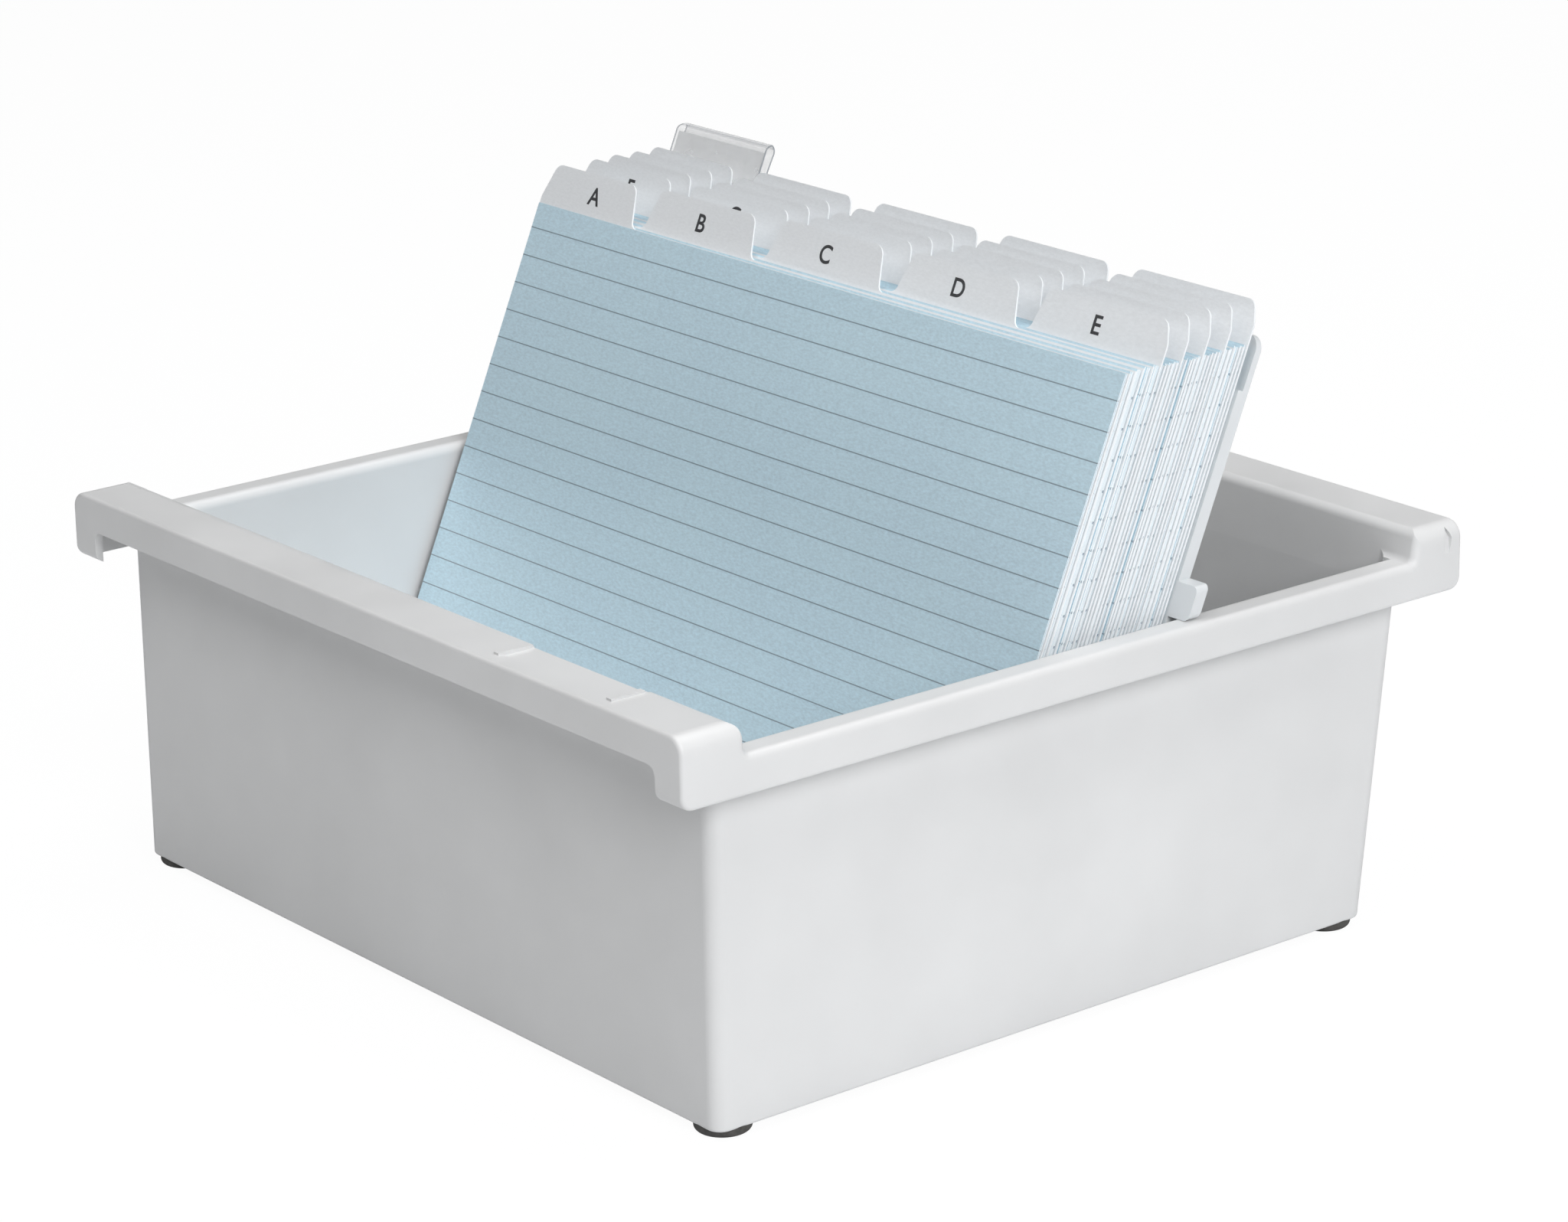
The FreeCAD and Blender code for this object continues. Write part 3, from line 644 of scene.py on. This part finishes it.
@dataclass
class CardStack:
    """The ruled front card, the packs of plain cards and the lettered guides."""

    card_width: float = 210 * MM
    sheet_width: float = 210.3 * MM
    card_height: float = 148 * MM
    card_thickness: float = 0.215 * MM
    card_pitch: float = 0.22 * MM
    faces_per_sheet: int = 12
    side_stray: float = 0.30 * MM
    height_stray: float = 0.12 * MM
    tilt_stray: float = 0.04
    guide_width: float = 211 * MM
    guide_height: float = 157.6 * MM
    tab_columns: int = 5
    tab_lead: float = 4.0 * MM
    tab_pitch: float = 43.2 * MM
    letter_height: float = 4.45 * MM
    capital_share: float = 0.73
    letter_drop: float = 7.35 * MM
    letter_from_tab_start: float = 19.8 * MM
    letter_weight: float = 0.10 * MM
    light_letters: tuple[str, ...] = ("m",)
    high_letter_rise: float = 0.7 * MM
    high_letters: tuple[str, ...] = ("f", "g")
    print_thickness: float = 0.02 * MM
    weld: float = 0.0001 * MM
    letters: tuple[str, ...] = (*"abcdefghijklmnopqrstuvw", "xy", "z")
    # The edge colours of these sheets are painted highlight, paler than their faces.
    card: SheetStock = SheetStock("pale_blue_card", Colour(202, 226, 238),
                                  Colour(244, 249, 251), tone_attribute="sheet_tone",
                                  height_attribute="sheet_depth")
    front: SheetStock = SheetStock("ruled_blue_card", Colour(202, 226, 238),
                                   Colour(240, 245, 247))
    guide: SheetStock = SheetStock("guide_sheet", Colour(240, 242, 244),
                                   Colour(244, 247, 249), roughness=0.45,
                                   fibre_depth=0.003 * MM, fibre_share=0.02)
    rule_ink: PrintInk = PrintInk("rule_ink", Colour(136, 153, 164), Colour(158, 173, 182))
    letter_ink: PrintInk = PrintInk("letter_ink", Colour(58, 58, 60), Colour(84, 84, 86))
    chance: random.Random = field(default_factory=lambda: random.Random(7))

    def build(self) -> None:
        """Dress the guides and build every sheet, rule and letter."""
        dress("front_card", self.front.material())
        self.build_rules()
        guide = self.guide.material()
        card = self.card.material()
        ink = self.letter_ink.material()
        self.build_pack("front_cards", "front_section", card)
        for index, letter in enumerate(self.letters):
            dress("guide_" + letter, guide)
            self.build_pack("cards_" + letter, "section_" + letter, card)
            self.build_letter(index, letter, ink)

    def build_pack(self, node: str, body: str, material: bpy.types.Material) -> None:
        """Lay the single sheets of one pack, each a little out of line.

        Args:
            node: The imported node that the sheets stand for.
            body: The body that they ride on.
            material: Their finish.
        """
        count = len(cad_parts[node].data.polygons) // self.faces_per_sheet
        foot = LEAN.foot(node, self.card_height)
        shape = bmesh.new()
        layers = (shape.verts.layers.float.new(self.card.tone_attribute),
                  shape.verts.layers.float.new(self.card.height_attribute))
        for index in range(count):
            self.add_sheet(shape, foot, index, layers)
        piece = mesh_piece(node + "_sheets", shape, material)
        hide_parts(node)
        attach(piece, body)
        LOG.info("piece %s: %d sheets", piece.name, count)

    def add_sheet(self, shape: bmesh.types.BMesh, foot: Vector, index: int,
                  layers: tuple[bmesh.types.BMLayerItem, ...]) -> None:
        """Add one sheet to a pack.

        Args:
            shape: The pack's mesh.
            foot: Middle of the pack's lower front edge.
            index: Place of the sheet in the pack, from the front.
            layers: Layers that take the sheet's own tone and the depth below its top.
        """
        stray = self.chance.uniform(-1.0, 1.0) ** 3 * self.side_stray
        lift = self.chance.uniform(0.0, 1.0) * self.height_stray
        turn = math.radians(self.chance.uniform(-1.0, 1.0) * self.tilt_stray)
        centre = Vector((stray, index * self.card_pitch + self.card_thickness / 2,
                         self.card_height / 2 - lift))
        size = Matrix.Diagonal((self.sheet_width, self.card_thickness, self.card_height, 1))
        place = (LEAN.placing(foot) @ Matrix.Translation(centre)
                 @ Matrix.Rotation(turn, 4, "Y") @ size)
        points = bmesh.ops.create_cube(shape, size=1.0, matrix=place)["verts"]
        middle = sum((point.co for point in points), Vector()) / len(points)
        tone, depth = layers
        value = self.chance.uniform(0.0, 1.0)
        for point in points:
            above = (point.co - middle).dot(LEAN.up) > 0.0
            point[tone] = value
            point[depth] = 0.0 if above else self.card_height

    def build_rules(self) -> None:
        """Print the rules across the front card."""
        foot = LEAN.foot("front_card", self.card_height)
        place = LEAN.placing(foot)
        shape = bmesh.new()
        height = self.card_height - self.front.rule_first
        while height > self.front.rule_width:
            centre = Vector((0.0, -self.print_thickness / 2, height))
            size = Matrix.Diagonal((self.card_width, self.print_thickness,
                                    self.front.rule_width, 1))
            bmesh.ops.create_cube(shape, size=1.0,
                                  matrix=place @ Matrix.Translation(centre) @ size)
            height -= self.front.rule_pitch
        piece = mesh_piece("front_card_rules", shape, self.rule_ink.material())
        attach(piece, "lead_card")
        LOG.info("piece %s", piece.name)

    def build_letter(self, index: int, letter: str, ink: bpy.types.Material) -> None:
        """Print one guide's letter on its tab.

        Args:
            index: Place of the guide in the stack.
            letter: Its letter or letters, in lower case.
            ink: Finish of the print.
        """
        text = bpy.data.curves.new("letter", "FONT")
        text.body = letter.upper()
        text.align_x = "CENTER"
        text.size = self.letter_height / self.capital_share
        text.offset = 0.0 if letter in self.light_letters else self.letter_weight
        text.extrude = self.print_thickness / 2
        holder = bpy.data.objects.new("letter", text)
        bpy.context.scene.collection.objects.link(holder)
        mesh = bpy.data.meshes.new_from_object(holder)
        bpy.data.objects.remove(holder)
        foot = LEAN.foot("guide_" + letter, self.guide_height)
        start = (index % self.tab_columns) * self.tab_pitch - self.tab_lead
        across = max(start, 0.0) + self.letter_from_tab_start - self.guide_width / 2
        upright = Matrix.Rotation(math.pi / 2, 4, "X")
        rise = self.high_letter_rise if letter in self.high_letters else 0.0
        seat = Vector((across, -self.print_thickness / 2,
                       self.guide_height - self.letter_drop + rise))
        mesh.transform(LEAN.placing(foot) @ Matrix.Translation(seat) @ upright)
        shape = bmesh.new()
        shape.from_mesh(mesh)
        bmesh.ops.remove_doubles(shape, verts=shape.verts, dist=self.weld)
        bmesh.ops.recalc_face_normals(shape, faces=shape.faces)
        piece = mesh_piece("letter_" + letter, shape, ink)
        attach(piece, "section_" + letter)
        LOG.info("piece %s", piece.name)


# ---------------------------------------------------------------- studio
class LampPlace(Enum):
    """The places that a lamp can shine from."""

    RIGHT = "right"
    FRONT = "front"
    BACK = "back"


@dataclass(frozen=True)
class Lamp:
    """A square soft lamp that points at the object."""

    place: LampPlace
    position: tuple[float, float, float]
    side: float
    power: float
    colour: tuple[float, float, float] = (1.0, 1.0, 1.0)

    def build(self, target: Vector) -> None:
        """Hang the lamp and turn it.

        Args:
            target: The point that it shines at.
        """
        data = bpy.data.lights.new("lamp_" + self.place.value, "AREA")
        data.shape = "SQUARE"
        data.size = self.side
        data.energy = self.power
        data.color = self.colour
        lamp = bpy.data.objects.new(data.name, data)
        lamp.location = self.position
        away = Vector(self.position) - target
        lamp.rotation_euler = away.to_track_quat("Z", "Y").to_euler()
        bpy.context.scene.collection.objects.link(lamp)
        LOG.info("lamp %s", data.name)


@dataclass
class Studio:
    """Pale floor, soft lamps and the camera."""

    floor_side: float = 12.0
    floor_colour: Colour = Colour(243, 244, 245)
    floor_patch: float = 0.25
    floor_shade: float = 0.985
    floor_roughness: float = 0.9
    backdrop_share: float = 0.94
    backdrop_strength: float = 1.02
    white: tuple[float, float, float, float] = (1.0, 1.0, 1.0, 1.0)
    room_light: tuple[float, float, float, float] = (0.97, 0.985, 1.0, 1.0)
    ambient: float = 0.01
    target: tuple[float, float, float] = (0.0, 0.0, 0.06)
    lamps: tuple[Lamp, ...] = (
        Lamp(LampPlace.RIGHT, (1.30, -0.30, 0.90), 0.9, 15.6, (0.98, 0.99, 1.0)),
        Lamp(LampPlace.FRONT, (0.0, -0.75, 1.55), 1.3, 10.6),
        Lamp(LampPlace.BACK, (0.1, 0.6, 1.6), 1.1, 11.8),
    )
    camera_place: tuple[float, float, float] = (0.8654, -0.6855, 0.4288)
    camera_azimuth: float = 51.3
    camera_height: float = 18.12
    camera_roll: float = -0.89
    lens: float = 115.88
    sensor: float = 36.0
    clip_start: float = 0.05

    def build(self) -> None:
        """Set up the floor, the lamps, the world and the camera."""
        self.build_floor()
        for lamp in self.lamps:
            lamp.build(Vector(self.target))
        self.build_world()
        self.build_camera()
        bpy.context.scene.view_settings.view_transform = "Standard"

    def build_floor(self) -> None:
        """Lay the floor, which shows the camera a near-white ground under its shadow."""
        shape = bmesh.new()
        bmesh.ops.create_grid(shape, x_segments=1, y_segments=1, size=self.floor_side / 2)
        surface = Surface("studio_floor")
        point = surface.point()
        patches = surface.spread(surface.noise(point, self.floor_patch), 0.0, 1.0)
        tone = surface.blend(patches, self.floor_colour.linear(),
                             self.floor_colour.scaled(self.floor_shade).linear())
        surface.feed(surface.shader.inputs["Base Color"], tone)
        surface.set(Roughness=self.floor_roughness)
        glow = surface.node("ShaderNodeEmission", Color=self.white,
                            Strength=self.backdrop_strength)
        seen = self.seen_directly(surface)
        share = surface.maths("MULTIPLY", seen, self.backdrop_share)
        mixed = surface.node("ShaderNodeMixShader", Fac=share)
        surface.feed(mixed.inputs[1], surface.shader.outputs[0])
        surface.feed(mixed.inputs[2], glow.outputs[0])
        surface.feed(surface.tree.nodes["Material Output"].inputs["Surface"],
                     mixed.outputs[0])
        mesh_piece("studio_floor", shape, surface.material)
        LOG.info("stage studio_floor")

    def build_world(self) -> None:
        """Make the room white to the eye and softly grey as a light."""
        world = bpy.data.worlds.new("studio_room")
        world.use_nodes = True
        bpy.context.scene.world = world
        tree = world.node_tree
        light = tree.nodes["Background"]
        light.inputs["Color"].default_value = self.room_light
        light.inputs["Strength"].default_value = self.ambient
        white = tree.nodes.new("ShaderNodeBackground")
        path = tree.nodes.new("ShaderNodeLightPath")
        glass = tree.nodes.new("ShaderNodeMath")
        glass.operation = "MAXIMUM"
        mix = tree.nodes.new("ShaderNodeMixShader")
        white.inputs["Color"].default_value = self.white
        tree.links.new(path.outputs["Is Camera Ray"], glass.inputs[0])
        tree.links.new(path.outputs["Is Transmission Ray"], glass.inputs[1])
        tree.links.new(glass.outputs[0], mix.inputs["Fac"])
        tree.links.new(light.outputs[0], mix.inputs[1])
        tree.links.new(white.outputs[0], mix.inputs[2])
        tree.links.new(mix.outputs[0], tree.nodes["World Output"].inputs["Surface"])
        LOG.info("world studio_room")

    def build_camera(self) -> None:
        """Place the camera."""
        data = bpy.data.cameras.new("camera")
        data.lens = self.lens
        data.sensor_width = self.sensor
        data.sensor_fit = "HORIZONTAL"
        data.clip_start = self.clip_start
        camera = bpy.data.objects.new("camera", data)
        turn = (Matrix.Rotation(math.radians(self.camera_azimuth), 4, "Z")
                @ Matrix.Rotation(math.radians(90.0 - self.camera_height), 4, "X")
                @ Matrix.Rotation(math.radians(self.camera_roll), 4, "Z"))
        camera.matrix_world = Matrix.Translation(self.camera_place) @ turn
        bpy.context.scene.collection.objects.link(camera)
        bpy.context.scene.camera = camera
        LOG.info("camera at %s", self.camera_place)

    @staticmethod
    def seen_directly(surface: Surface) -> bpy.types.NodeSocket:
        """Tell the rays that reach a surface from the eye, straight or through film.

        Args:
            surface: The material under construction.

        Returns:
            1 for such a ray, else 0.
        """
        path = surface.node("ShaderNodeLightPath")
        return surface.maths("MAXIMUM", path.outputs["Is Camera Ray"],
                             path.outputs["Is Transmission Ray"])


def main() -> None:
    """Build every sub-assembly in order."""
    logging.basicConfig(level=logging.INFO, format="%(name)s: %(message)s")
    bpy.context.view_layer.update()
    for part in (Studio(), Tray(), CardStack(), SupportPlate(), LabelWindow()):
        LOG.info("building %s", type(part).__name__)
        part.build()


if __name__ == "__main__":
    main()
